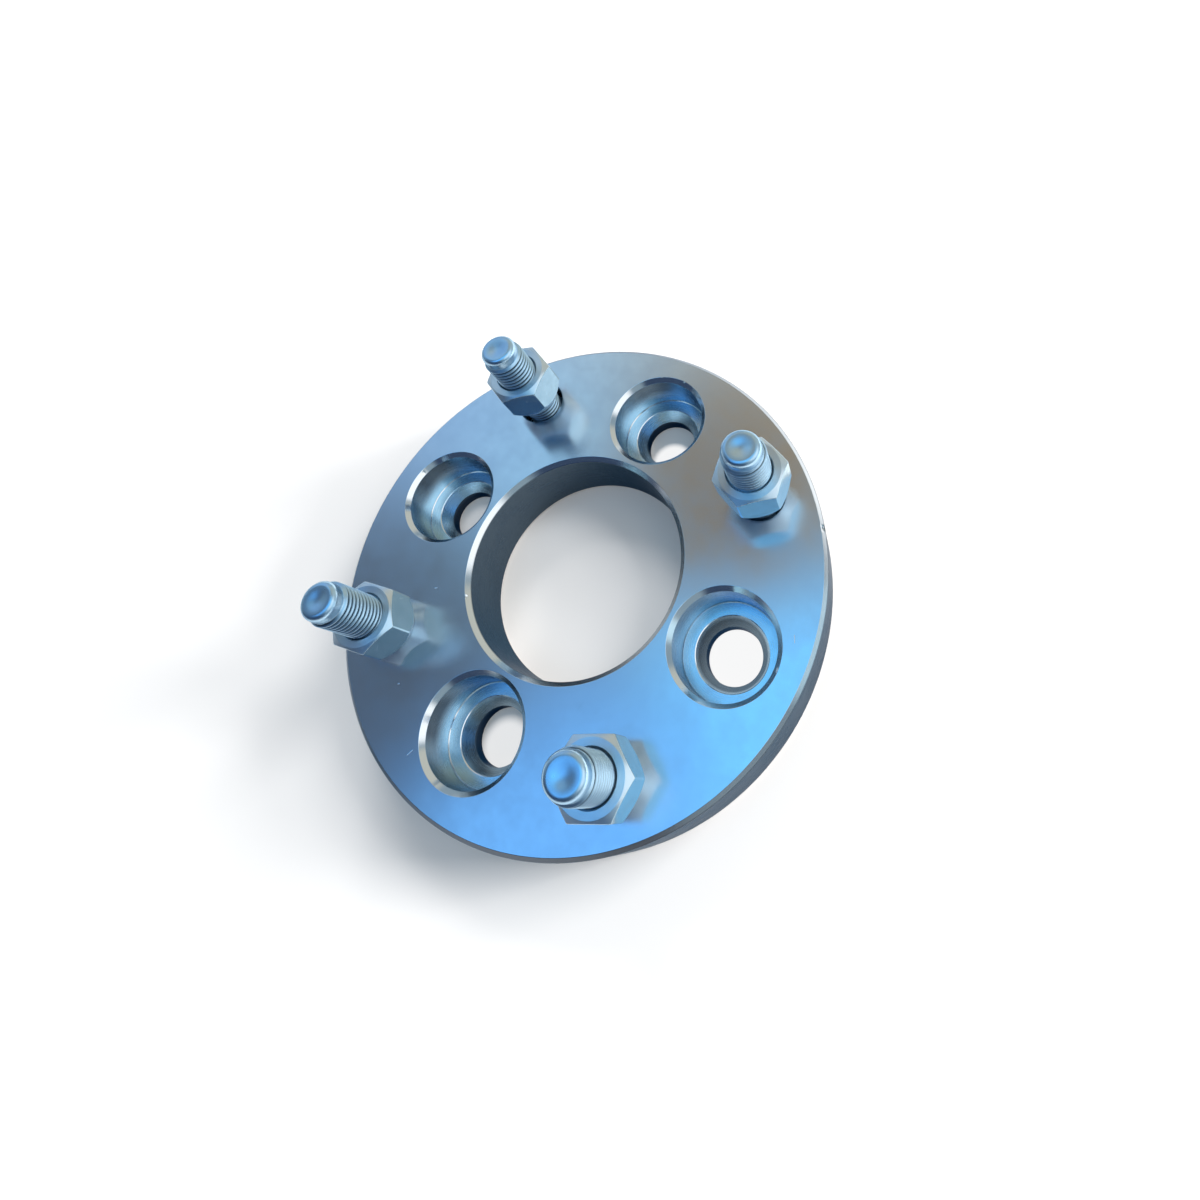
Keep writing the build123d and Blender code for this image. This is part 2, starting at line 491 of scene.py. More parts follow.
@dataclass(frozen=True)
class BrightNutFinish(MetalFinish):
    """Bright plated nut: nearly a mirror, with the faint waves of a forged blank."""

    wave_size: float = 2.6
    wave_depth: float = 0.035
    grain_size: float = 0.35
    grain_depth: float = 0.0015
    speck: Colour = (0.4, 0.42, 0.42)
    speck_size: float = 0.8
    speck_edge: tuple[float, float] = (0.62, 0.72)
    speck_share: float = 0.45
    speck_roughness: float = 0.25

    def paint(self, nodes: Nodes, shader: bpy.types.Node) -> None:
        """See MetalFinish."""
        place = nodes.place()
        colour, roughness = self.patches(nodes)
        waves = nodes.noise(place, 1 / (self.wave_size * MM), detail=1.5)
        grain = nodes.noise(place, 1 / (self.grain_size * MM), detail=3.0, roughness=0.6)
        specks = nodes.noise(place, 1 / (self.speck_size * MM), detail=3.0, roughness=0.7)
        specks = nodes.spread(specks, *self.speck_edge, 0.0, self.speck_share, soft=True)
        nodes.feed(shader.inputs["Base Color"], nodes.blend(specks, colour, self.speck))
        nodes.feed(shader.inputs["Roughness"], nodes.add_where(roughness, specks, self.speck_roughness))
        normal = nodes.bump(grain, self.grain_depth)
        nodes.feed(shader.inputs["Normal"], nodes.bump(waves, self.wave_depth, normal))


# Turned surfaces


@dataclass
class Outline:
    """Points along a turned surface, with the way that each one faces and how far along it lies.

    The outside is on the right.
    """

    points: np.ndarray
    facing: np.ndarray
    run: np.ndarray


def rounded(
    corners: Sequence[Corner],
    steps: int = 4,
    longest: float = 0.0,
    wall_step: float = 0.0,
    closed: bool = False,
) -> Outline:
    """Rounds the corners of an outline.

    Args:
        corners: Radius, height and rounding of each corner. Unless closed, the first and last only give a
            direction.
        steps: Pieces in each rounded corner.
        longest: The longest gap between two points on a run shorter than 3 mm, or 0 for no points there.
        wall_step: The longest gap on a longer run, or 0 for no points there.
        closed: Whether the outline closes on itself.

    Returns:
        The outline, from the first rounded corner to the last.
    """
    points: list[np.ndarray] = []
    facing: list[np.ndarray] = []
    count = len(corners)
    for index in range(count) if closed else range(1, count - 1):
        before, here, after = (np.array(corners[(index + step) % count][:2]) for step in (-1, 0, 1))
        arrive = (here - before) / np.linalg.norm(here - before)
        leave = (after - here) / np.linalg.norm(after - here)
        turn = atan2(arrive[0] * leave[1] - arrive[1] * leave[0], float(arrive @ leave))
        radius = corners[index][2]
        start = here - arrive * radius * tan(abs(turn) / 2)
        side = np.array([-arrive[1], arrive[0]]) * (1 if turn > 0 else -1)
        middle = start + side * radius
        gap = float(np.linalg.norm(start - points[-1])) if points else 0.0
        limit = longest if gap < SHORT_RUN else wall_step
        if gap and limit:
            parts = ceil(gap / limit)
            for part in range(1, parts):
                points.append(points[-1] + (start - points[-1]) / (parts - part + 1))
                facing.append(facing[-1])
        for step in range(steps + 1):
            angle = turn * step / steps
            spin = np.array([[cos(angle), -sin(angle)], [sin(angle), cos(angle)]])
            points.append(middle + spin @ (start - middle))
            way = spin @ arrive
            facing.append(np.array([way[1], -way[0]]))
    place = np.array(points)
    run = np.concatenate([[0.0], np.cumsum(np.linalg.norm(np.diff(place, axis=0), axis=1))])
    return Outline(place, np.array(facing), run)


@dataclass(frozen=True)
class WallShade:
    """A stretch of a turned wall that is darkened by painted shade.

    Its middle, its half width and the width of its soft ends are in degrees. It is gone below one height, at
    full strength from another, and ends at the top.
    """

    azimuth: float
    reach: float
    soft: float
    tone: float
    gone: float = 10.0
    full: float = 16.0
    top: float = 20.65

    def tones(self, height: float, angles: np.ndarray) -> np.ndarray:
        """How bright the painted shade leaves the wall at a height.

        Args:
            height: The height, in millimetres.
            angles: Angles along the wall, in radians.

        Returns:
            The tone at each angle, from 0 to 1.
        """
        gap = np.abs((np.degrees(angles) - self.azimuth + 180) % 360 - 180)
        along = np.clip((self.reach + self.soft - gap) / self.soft, 0, 1)
        up = np.clip((height - self.gone) / (self.full - self.gone), 0, 1) if height < self.top else 0.0
        return 1 - (1 - self.tone) * along**2 * (3 - 2 * along) * up


@dataclass(frozen=True)
class Dent:
    """A small dent: its middle, its radius and the depth of its middle, in millimetres."""

    middle: tuple[float, float, float]
    reach: float
    depth: float


@dataclass
class Shell:
    """A mesh in the making, in millimetres.

    Each list but the last two holds one array per ring: the points, the way they face, the turning angle and
    the run along the outline, the way across the turning marks, how keen a cut face is, and how bright
    painted shade leaves it.
    """

    points: list[np.ndarray] = field(default_factory=list)
    normals: list[np.ndarray] = field(default_factory=list)
    turned: list[np.ndarray] = field(default_factory=list)
    across: list[np.ndarray] = field(default_factory=list)
    keen: list[np.ndarray] = field(default_factory=list)
    shade: list[np.ndarray] = field(default_factory=list)
    faces: list[tuple[int, ...]] = field(default_factory=list)
    materials: list[int] = field(default_factory=list)
    size: int = 0

    def wall(self, low: range, high: range) -> None:
        """Joins two rings by a row of faces.

        Args:
            low: A ring.
            high: The next ring along the outline.
        """
        count = len(low)
        for column in range(count):
            beside = (column + 1) % count
            self.faces.append((low[column], low[beside], high[beside], high[column]))
        self.materials += [1] * count

    def lathe(
        self,
        outline: Outline,
        centre: tuple[float, float],
        segments: int,
        tones: Sequence[Tone] = ((0.0, 1.0),),
        shade: WallShade | None = None,
    ) -> tuple[range, range]:
        """Turns an outline about an upright axis.

        Args:
            outline: What is turned.
            centre: Where the axis stands.
            segments: Points in each ring.
            tones: Heights, from the lowest up, and how bright painted shade leaves the metal there, from 0 to
                1.
            shade: A stretch of it with more painted shade.

        Returns:
            The indices of the first and the last ring.
        """
        angles = np.arange(segments) * 2 * pi / segments
        spokes = np.stack([np.cos(angles), np.sin(angles)], 1)
        rings: list[range] = []
        for point, way, run in zip(outline.points, outline.facing, outline.run):
            flat = np.array(centre) + point[0] * spokes
            self.points.append(np.column_stack([flat, np.full(segments, point[1])]))
            self.normals.append(np.column_stack([way[0] * spokes, np.full(segments, way[1])]))
            self.turned.append(np.column_stack([spokes, np.full(segments, run)]))
            self.across.append(np.column_stack([-way[1] * spokes, np.full(segments, way[0])]))
            slanted = KEEN_SLOPES[0] < abs(way[1]) < KEEN_SLOPES[1]
            self.keen.append(np.full(segments, 1.0 if slanted else 0.0))
            # painted shade: how bright each ring is left, by height and by angle
            tone = np.full(segments, np.interp(point[1], *zip(*tones)))
            self.shade.append(tone * shade.tones(point[1], angles) if shade else tone)
            rings.append(range(self.size, self.size + segments))
            self.size += segments
        for low, high in zip(rings, rings[1:]):
            self.wall(low, high)
        return rings[0], rings[-1]

    def cap(self, rim: range, holes: Sequence[range], up: bool) -> None:
        """Fills the flat face between a rim and the holes in it.

        A triangle with all its corners on one hole lies in that hole, and is left out.

        Args:
            rim: The outer ring.
            holes: The rings of the holes.
            up: Whether it faces up.
        """
        place = np.concatenate(self.points)
        loops = [rim, *holes]
        index = [vertex for loop in loops for vertex in loop]
        flat = [Vector(place[vertex][:2]) for vertex in index]
        edges: list[tuple[int, int]] = []
        start = 0
        for loop in loops:
            edges += [(start + step, start + (step + 1) % len(loop)) for step in range(len(loop))]
            start += len(loop)
        owner = [number for number, loop in enumerate(loops) for _ in loop]
        found, _, triangles, origin, _, _ = geometry.delaunay_2d_cdt(flat, edges, [], 0, 1e-6)
        for triangle in triangles:
            own = [origin[vertex][0] for vertex in triangle]
            owners = {owner[vertex] for vertex in own}
            if len(owners) == 1 and owners != {0}:
                continue
            (ax, ay), (bx, by), (cx, cy) = (found[vertex] for vertex in triangle)
            turn = (bx - ax) * (cy - ay) - (by - ay) * (cx - ax)
            ring = [index[vertex] for vertex in own]
            self.faces.append(tuple(ring if (turn > 0) == up else reversed(ring)))
            self.materials.append(0)

    def press(self, dent: Dent) -> None:
        """Presses a small dent into the surface.

        Args:
            dent: The dent.
        """
        for row, (place, normal) in enumerate(zip(self.points, self.normals)):
            away = (place - np.array(dent.middle)) / dent.reach
            gap = np.linalg.norm(away, axis=1)
            near = (gap < 1.0) & (np.abs(normal[:, 2]) < FLAT_FACING)
            if near.any():
                fall = np.where(near, (1 - np.minimum(gap, 1.0) ** 2) ** 2, 0.0)[:, None]
                self.points[row] = place - normal * dent.depth * fall
                slope = away * 4 * (1 - gap[:, None] ** 2) * dent.depth / dent.reach
                bent = normal - np.where(near[:, None], slope, 0.0)
                self.normals[row] = bent / np.linalg.norm(bent, axis=1)[:, None]

    def mesh(self, name: str) -> bpy.types.Mesh:
        """Makes the mesh, in metres, with its own normals and attributes.

        Args:
            name: The mesh's name.

        Returns:
            The mesh.
        """
        made = bpy.data.meshes.new(name)
        made.from_pydata((np.concatenate(self.points) * MM).tolist(), [], self.faces)
        made.polygons.foreach_set("material_index", self.materials)
        made.shade_smooth()
        for label, parts in (("turned", self.turned), ("across", self.across)):
            layer = made.attributes.new(label, "FLOAT_VECTOR", "POINT")
            layer.data.foreach_set("vector", np.concatenate(parts).ravel())
        for label, parts in (("keen", self.keen), ("shade", self.shade)):
            layer = made.attributes.new(label, "FLOAT", "POINT")
            layer.data.foreach_set("value", np.concatenate(parts))
        made.normals_split_custom_set_from_vertices(np.concatenate(self.normals).tolist())
        return made


def stand(number: int) -> Vector:
    """Where a stud's axis meets the hub face, in millimetres."""
    angle = 2 * pi / HOLE_COUNT * (number - 0.5)
    return Vector((cos(angle), sin(angle), 0)) * WHEEL_CIRCLE_RADIUS


def show(made: bpy.types.Mesh, name: str, finishes: Sequence[bpy.types.Material]) -> bpy.types.Object:
    """Puts a mesh in the scene.

    Args:
        made: The mesh.
        name: The piece's name.
        finishes: Its materials in order.

    Returns:
        The piece.
    """
    piece = bpy.data.objects.new(name, made)
    bpy.context.scene.collection.objects.link(piece)
    for index, finish in enumerate(finishes):
        if index < len(made.materials):
            made.materials[index] = finish
        else:
            made.materials.append(finish)
    return piece


def dress(piece: bpy.types.Object, node: str) -> None:
    """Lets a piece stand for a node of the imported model.

    Args:
        piece: The piece.
        node: The node it replaces.
    """
    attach(piece, BODY)
    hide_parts(node)
    counts = len(piece.data.vertices), len(piece.data.polygons)
    log.info("%s stands for %s: %d vertices, %d faces", piece.name, node, *counts)


@dataclass
class SpacerDisc:
    """The turned disc with its bore, its stepped hub holes and its stud holes. Sizes in millimetres."""

    rim_radius: float = 72.5
    rim_chamfer: float = 1.1
    bore_radius: float = 32.05
    bore_chamfer: float = 1.35
    edge: float = 0.13
    wall_gap: float = 0.35
    pocket_radius: float = 14.0
    pocket_chamfer: float = 1.3
    pocket_floor: float = 8.684
    pocket_corner: float = 0.24
    pocket_edge: float = 0.05
    seat_radius: float = 10.3
    seat_bevel: float = 0.28
    hub_hole_radius: float = 8.0
    hub_hole_land: float = 4.7
    hub_hole_break: float = 0.5
    hub_hole_edge: float = 0.1
    hub_hole_steps: tuple[float, float] = (0.45, 1.5)
    stud_hole_radius: float = 7.15
    stud_hole_edge: float = 0.08
    stud_mouth: float = 0.4
    recess_radius: float = 9.8
    recess_depth: float = 6.2
    recess_corner: float = 0.3
    recess_break: float = 0.5
    rim_segments: int = 900
    bore_segments: int = 600
    hole_segments: int = 180
    stud_hole_segments: int = 108
    # painted shade on the rim, bore and holes: heights with how bright it leaves the metal, 0 the darkest
    rim_painted_shade: tuple[Tone, ...] = ((0.9, 0.6), (1.05, 0.14), (20.95, 0.2), (21.05, 0.68))
    bore_painted_shade: tuple[Tone, ...] = ((1.2, 0.5), (1.4, 0.12), (20.6, 0.15), (20.8, 1.0))
    # more painted shade on one side of the rim
    rim_shade: WallShade = WallShade(283.0, 28.0, 30.0, 0.2, gone=20.9, full=21.0, top=30.0)
    hole_painted_shade: tuple[Tone, ...] = ((0.46, 0.5), (0.53, 0.0), (4.66, 0.0))
    cone_heights: tuple[float, float] = (4.74, 8.42)
    cone_painted_shade: tuple[float, ...] = (0.3, 1.0, 1.0, 0.6)
    pocket_painted_shade: Tone = (8.5, 1.0)
    # more painted shade on one side of each pocket
    pocket_shades: tuple[WallShade, ...] = (
        WallShade(165.0, 12.0, 32.0, 0.56),
        WallShade(132.0, 14.0, 34.0, 0.25),
        WallShade(165.0, 14.0, 32.0, 0.21),
        WallShade(193.0, 14.0, 34.0, 0.18),
    )
    stud_painted_shade: tuple[Tone, ...] = ((0.4, 0.6), (0.6, 0.4), (21.2, 0.15), (21.4, 0.9))
    dents: tuple[Dent, ...] = (
        Dent((-24.2, -22.6, 21.9), 0.7, 0.22),
        Dent((-63.9, 2.6, 21.8), 1.0, 0.2),
        Dent((-62.6, 5.0, 21.9), 0.7, 0.16),
        Dent((60.2, 39.3, 21.7), 1.1, 0.25),
        Dent((8.2, -64.6, 21.9), 0.7, 0.2),
        Dent((65.3, 0.9, 21.9), 0.8, 0.22),
        Dent((-6.1, 64.2, 21.9), 0.6, 0.2),
        Dent((-4.4, 64.7, 21.9), 0.5, 0.16),
        Dent((1.0, 65.2, 21.9), 0.8, 0.2),
        Dent((-64.6, -2.0, 21.9), 0.6, 0.18),
    )

    def through(self, reach: float, chamfer: float, side: int) -> Outline:
        """The outline of a wall that goes straight through the disc, chamfered at both faces.

        Args:
            reach: The wall's radius.
            chamfer: Width of the chamfers.
            side: 1 for a bore, from the wheel face down, and -1 for the rim, from the hub face up.

        Returns:
            The outline.
        """
        mouth = reach + side * chamfer
        corners = [
            (mouth + side, DISC_THICKNESS, 0),
            (mouth, DISC_THICKNESS, self.edge),
            (reach, DISC_THICKNESS - chamfer, self.edge),
            (reach, chamfer, self.edge),
            (mouth, 0, self.edge),
            (mouth + side, 0, 0),
        ]
        return rounded(corners[::side], longest=self.wall_gap)

    def hub_hole(self) -> Outline:
        """A stepped hub hole's outline: pocket, floor, cone seat and land."""
        mouth = self.pocket_radius + self.pocket_chamfer
        foot = self.hub_hole_radius + self.hub_hole_break
        floor, bevel = self.pocket_floor, self.seat_bevel
        corners = [
            (mouth + 1, DISC_THICKNESS, 0),
            (mouth, DISC_THICKNESS, self.edge),
            (self.pocket_radius, DISC_THICKNESS - self.pocket_chamfer, self.edge),
            (self.pocket_radius, floor + self.pocket_corner, self.pocket_edge),
            (self.pocket_radius - self.pocket_corner, floor, self.pocket_edge),
            (self.seat_radius + bevel * CONE_SLOPE, floor, self.pocket_edge),
            (self.seat_radius - bevel * CONE_SLOPE / 2, floor - bevel / 2, self.pocket_edge),
            (self.hub_hole_radius, self.hub_hole_land, self.edge),
            (self.hub_hole_radius, self.hub_hole_break, self.hub_hole_edge),
            (foot, 0, self.hub_hole_edge),
            (foot + 1, 0, 0),
        ]
        longest, wall_step = self.hub_hole_steps
        return rounded(corners, longest=longest, wall_step=wall_step)

    def stud_hole(self) -> Outline:
        """A stud hole's outline: cone mouth, hole, and the recess for the head."""
        mouth = self.stud_hole_radius + self.stud_mouth
        foot = self.recess_radius + self.recess_break
        corners = [
            (mouth + 1, DISC_THICKNESS, 0),
            (mouth, DISC_THICKNESS, self.stud_hole_edge),
            (self.stud_hole_radius, DISC_THICKNESS - self.stud_mouth / CONE_SLOPE, self.stud_hole_edge),
            (self.stud_hole_radius, self.recess_depth, self.stud_hole_edge),
            (self.recess_radius, self.recess_depth, self.recess_corner),
            (self.recess_radius, self.recess_break, self.hub_hole_edge),
            (foot, 0, self.hub_hole_edge),
            (foot + 1, 0, 0),
        ]
        return rounded(corners, steps=3)

    def build(self, faced: bpy.types.Material, turned: bpy.types.Material) -> None:
        """Builds and dresses the disc.

        Args:
            faced: Finish of the two flat faces.
            turned: Finish of the rim, the bore and the holes.
        """
        shell = Shell()
        rim = self.through(self.rim_radius, self.rim_chamfer, -1)
        rim_foot, rim_top = shell.lathe(rim, (0, 0), self.rim_segments, self.rim_painted_shade, self.rim_shade)
        tops: list[range] = []
        feet: list[range] = []
        bore = self.through(self.bore_radius, self.bore_chamfer, 1)
        jobs = [(bore, (0.0, 0.0), self.bore_segments, self.bore_painted_shade, None)]
        for number, (cone, shade) in enumerate(zip(self.cone_painted_shade, self.pocket_shades), 1):
            angle = 2 * pi / HOLE_COUNT * (number - 1)
            middle = (HUB_CIRCLE_RADIUS * cos(angle), HUB_CIRCLE_RADIUS * sin(angle))
            seat = [(height, cone) for height in self.cone_heights]
            tones = (*self.hole_painted_shade, *seat, self.pocket_painted_shade)
            jobs.append((self.hub_hole(), middle, self.hole_segments, tones, shade))
            middle = tuple(stand(number)[:2])
            jobs.append((self.stud_hole(), middle, self.stud_hole_segments, self.stud_painted_shade, None))
        for outline, centre, segments, tones, shade in jobs:
            top, foot = shell.lathe(outline, centre, segments, tones, shade)
            tops.append(top)
            feet.append(foot)
        shell.cap(rim_top, tops, up=True)
        shell.cap(rim_foot, feet, up=False)
        for dent in self.dents:
            shell.press(dent)
        piece = show(shell.mesh("disc_turned"), "disc_turned", (faced, turned))
        dress(piece, "spacer_body")


# Geometry node trees for the rolled forms


@dataclass
class RollingTree:
    """A geometry node tree that rolls a form into a blank which stands on the Z axis."""

    name: str
    sizes: dict[str, float]
    least_radius: float = 1e-6
    group: bpy.types.NodeTree = field(init=False)
    nodes: Nodes = field(init=False)
    entry: bpy.types.Node = field(init=False)

    def __post_init__(self) -> None:
        """Makes the group with its named inputs, and the nodes in it."""
        self.group = bpy.data.node_groups.new(self.name, "GeometryNodeTree")
        face = self.group.interface
        face.new_socket("Geometry", in_out="INPUT", socket_type="NodeSocketGeometry")
        for name in self.sizes:
            face.new_socket(name, in_out="INPUT", socket_type="NodeSocketFloat")
        face.new_socket("Material", in_out="INPUT", socket_type="NodeSocketMaterial")
        face.new_socket("Geometry", in_out="OUTPUT", socket_type="NodeSocketGeometry")
        self.nodes = Nodes(self.group)
        self.entry = self.nodes.add("NodeGroupInput")
        self.roll()

    def valley(self, turns: Value) -> Socket:
        """Rises from 0 to 1 and falls back over each turn."""
        nodes = self.nodes
        part = nodes.math("SUBTRACT", nodes.math("MULTIPLY", nodes.math("FRACT", turns), 2.0), 1.0)
        return nodes.math("SUBTRACT", 1.0, nodes.math("ABSOLUTE", part))

    def between(self, height: Value, low: Value, high: Value) -> Socket:
        """Is 1 between two heights, and 0 elsewhere."""
        above = self.nodes.math("GREATER_THAN", height, low)
        return self.nodes.math("MULTIPLY", above, self.nodes.math("LESS_THAN", height, high))

    def depth_at(self, angle: Value, height: Value, radius: Value) -> Socket:
        """How far the form is pressed in at a point.

        Args:
            angle: The point's angle, in turns.
            height: The point's height.
            radius: The point's distance from the axis.

        Returns:
            The depth, in metres.
        """
        raise NotImplementedError

    def roll(self) -> None:
        """Adds the nodes that store how deep each point of the blank is to lie, and move it there."""
        nodes = self.nodes
        x, y, z = nodes.split(nodes.add("GeometryNodeInputPosition").outputs[0])
        radius = nodes.math("MAXIMUM", nodes.vector("LENGTH", nodes.join(x, y, 0.0)), self.least_radius)
        turns = nodes.math("DIVIDE", nodes.math("ARCTAN2", y, x), 2 * pi)
        depth = self.depth_at(turns, z, radius)
        keep = nodes.math("SUBTRACT", 1.0, nodes.math("DIVIDE", depth, radius))
        store = nodes.add("GeometryNodeStoreNamedAttribute", data_type="FLOAT", domain="POINT")
        nodes.feed(store.inputs["Geometry"], self.entry.outputs["Geometry"])
        store.inputs["Name"].default_value = "cut"
        earlier = nodes.add("GeometryNodeInputNamedAttribute", data_type="FLOAT")
        earlier.inputs["Name"].default_value = "cut"
        own = nodes.math("DIVIDE", depth, self.entry.outputs["Depth"])
        nodes.feed(store.inputs["Value"], nodes.math("MAXIMUM", own, earlier.outputs["Attribute"]))
        move = nodes.add("GeometryNodeSetPosition")
        nodes.feed(move.inputs["Geometry"], store.outputs[0])
        kept_x, kept_y = (nodes.math("MULTIPLY", part, keep) for part in (x, y))
        nodes.feed(move.inputs["Position"], nodes.join(kept_x, kept_y, z))
        real = nodes.add("GeometryNodeRealizeInstances")
        nodes.feed(real.inputs[0], move.outputs[0])
        paint = nodes.add("GeometryNodeSetMaterial")
        nodes.feed(paint.inputs["Geometry"], real.outputs[0])
        nodes.feed(paint.inputs["Material"], self.entry.outputs["Material"])
        nodes.feed(nodes.add("NodeGroupOutput").inputs[0], paint.outputs[0])

    def apply(self, blank: bpy.types.Object, finish: bpy.types.Material) -> None:
        """Adds the tree to a blank as a modifier, with its inputs set.

        Args:
            blank: The blank.
            finish: The material.
        """
        modifier = blank.modifiers.new(self.name, "NODES")
        modifier.node_group = self.group
        for item in self.group.interface.items_tree:
            if item.in_out == "INPUT" and item.name in self.sizes:
                modifier[item.identifier] = self.sizes[item.name]
            elif item.in_out == "INPUT" and item.name == "Material":
                modifier[item.identifier] = finish


@dataclass
class ThreadTree(RollingTree):
    """Rolls a right-hand thread, whose flanks are a mix of straight and eased ones."""

    straight_flank: tuple[float, float] = (0.13, 0.88)
    eased_flank: tuple[float, float] = (0.08, 0.94)
    eased_share: float = 0.55

    def depth_at(self, angle: Value, height: Value, radius: Value) -> Socket:
        """See RollingTree."""
        nodes, sizes = self.nodes, self.entry.outputs
        valley = self.valley(nodes.math("SUBTRACT", nodes.math("DIVIDE", height, sizes["Pitch"]), angle))
        straight = nodes.spread(valley, *self.straight_flank, 0.0, 1.0)
        eased = nodes.spread(valley, *self.eased_flank, 0.0, 1.0, soft=True)
        straight = nodes.math("MULTIPLY", straight, 1.0 - self.eased_share)
        shape = nodes.add_where(straight, eased, self.eased_share)
        full = nodes.math("ADD", sizes["Foot"], sizes["Run-out"])
        grown = nodes.spread(height, sizes["Foot"], full, 0.0, 1.0)
        cut = nodes.math("MULTIPLY", nodes.math("MULTIPLY", shape, grown), sizes["Depth"])
        wanted = nodes.math("SUBTRACT", sizes["Crest radius"], cut)
        depth = nodes.math("MAXIMUM", nodes.math("SUBTRACT", radius, wanted), 0.0)
        return nodes.math("MULTIPLY", depth, self.between(height, sizes["Foot"], sizes["Top"]))


@dataclass
class KnurlTree(RollingTree):
    """Rolls a straight knurl."""

    def depth_at(self, angle: Value, height: Value, radius: Value) -> Socket:
        """See RollingTree."""
        nodes, sizes = self.nodes, self.entry.outputs
        valley = self.valley(nodes.math("MULTIPLY", angle, sizes["Teeth"]))
        outer = nodes.math("GREATER_THAN", radius, sizes["Inner radius"])
        where = nodes.math("MULTIPLY", outer, self.between(height, sizes["Foot"], sizes["Top"]))
        return nodes.math("MULTIPLY", nodes.math("MULTIPLY", valley, sizes["Depth"]), where)


@dataclass
class WheelStud:
    """A headed stud with a knurl, a rolled thread, a groove and a rounded pilot. Sizes in millimetres.

    Each pair of the head's waves is how many there are in a millimetre, and how high they are.
    """

    number: int
    spin: float
    head_foot: float = 3.0
    head_top: float = 6.2
    head_radius: float = 9.0
    head_edge: float = 0.55
    head_top_edge: float = 0.2
    knurl_radius: float = 7.13
    knurl_depth: float = 0.4
    knurl_teeth: int = 36
    knurl_top: float = 15.2
    collar_sink: float = 0.4
    collar_gap: float = 0.1
    collar_foot_chamfer: tuple[float, float] = (0.3, 0.3)
    collar_top_chamfer: tuple[float, float] = (0.45, 0.4)
    collar_edge: float = 0.05
    sunk_edge: float = 0.02
    thread_radius: float = 5.95
    thread_depth: float = 0.86
    pitch: float = 1.5
    thread_foot: float = 15.6
    thread_end: float = 50.25
    groove_radius: float = 5.13
    groove_foot: float = 50.8
    pilot_foot: float = 51.3
    pilot_radius: float = 5.2
    tip: float = 54.4
    tip_rounding: float = 1.5
    dish_radius: float = 3.6
    dish_depth: float = 0.34
    dish_middle: float = 0.3
    edge: float = 0.1
    groove_edge: float = 0.06
    rows_per_pitch: int = 14
    short_rows: int = 12
    head_rings: tuple[float, ...] = (0.4, 1.2, 2.0, 2.9, *np.arange(3.6, 8.3, 0.55))
    head_waves: tuple[tuple[float, float], ...] = ((0.9, 0.09), (2.1, 0.05))
    head_skin: float = 0.3
    wave_step: float = 7.0
    segments: int = 96
    knurl_segments: int = 216

    def shank(self) -> Outline:
        """The outline from the middle of the head up to the middle of the tip."""
        lower = rounded(
            [
                (0.0, self.head_foot, 0),
                (self.head_radius, self.head_foot, self.head_edge),
                (self.head_radius, self.head_top, self.head_top_edge),
                (self.thread_radius, self.head_top, self.edge),
                (self.thread_radius, self.thread_foot, 0),
            ]
        )
        heights = np.arange(self.thread_foot, self.thread_end, self.pitch / self.rows_per_pitch)
        threaded = np.column_stack([np.full(len(heights), self.thread_radius), heights])
        ends = [self.thread_radius, self.thread_end], [self.groove_radius, self.groove_foot]
        slope = np.linspace(*ends, self.short_rows)
        upper = rounded(
            [
                (self.thread_radius, self.thread_end, 0),
                (self.groove_radius, self.groove_foot, self.edge),
                (self.groove_radius, self.pilot_foot, self.groove_edge),
                (self.pilot_radius, self.pilot_foot, self.edge),
                (self.pilot_radius, self.tip, self.tip_rounding),
                (self.dish_radius, self.tip, 0),
            ],
            steps=7,
        )
        reach = np.linspace(self.dish_radius, self.dish_middle, self.short_rows)
        dish = self.tip - self.dish_depth * (0.5 + 0.5 * np.cos(pi * reach / self.dish_radius))
        centre = np.column_stack([reach, dish])
        head = np.array([(radius, self.head_foot) for radius in self.head_rings])
        points = np.concatenate([head, lower.points, threaded, slope[1:-1], upper.points, centre])
        return Outline(points, np.zeros_like(points), np.zeros(len(points)))

    def collar(self) -> Outline:
        """The knurled collar's outline, which closes inside the shank."""
        inner, foot = self.thread_radius - self.collar_sink, self.head_top + self.collar_gap
        (foot_in, foot_up), (top_in, top_down) = self.collar_foot_chamfer, self.collar_top_chamfer
        corners = [
            (inner, foot, self.sunk_edge),
            (self.knurl_radius - foot_in, foot, self.sunk_edge),
            (self.knurl_radius, foot + foot_up, self.collar_edge),
            (self.knurl_radius, self.knurl_top - top_down, self.collar_edge),
            (self.knurl_radius - top_in, self.knurl_top, self.collar_edge),
            (inner, self.knurl_top, self.sunk_edge),
        ]
        return rounded(corners, steps=2, closed=True)

    def blank(self) -> bpy.types.Mesh:
        """The turned blank before rolling, on the Z axis.

        Returns:
            The mesh, in metres.
        """
        shell = Shell()
        first, last = shell.lathe(self.shank(), (0, 0), self.segments)
        ends = np.array([[0, 0, self.head_foot], [0, 0, self.tip - self.dish_depth]])
        foot, top = shell.size, shell.size + 1
        shell.points.append(ends)
        shell.size += 2
        for step in range(self.segments):
            beside = (step + 1) % self.segments
            shell.faces.append((foot, first[beside], first[step]))
            shell.faces.append((top, last[step], last[beside]))
        start, end = shell.lathe(self.collar(), (0, 0), self.knurl_segments)
        shell.wall(end, start)
        made = bpy.data.meshes.new("stud_blank")
        place = np.concatenate(shell.points)
        for point in place:
            if point[2] < self.head_foot + self.head_skin:
                seat = Vector((point[0], point[1], self.number * self.wave_step))
                share = max(0.0, 1 - (hypot(point[0], point[1]) / self.head_radius) ** 4)
                heights = (height * noise.noise(seat * waves) for waves, height in self.head_waves)
                point[2] += share * sum(heights)
        made.from_pydata((place * MM).tolist(), [], shell.faces)
        made.shade_smooth()
        made.attributes.new("cut", "FLOAT", "POINT")
        return made

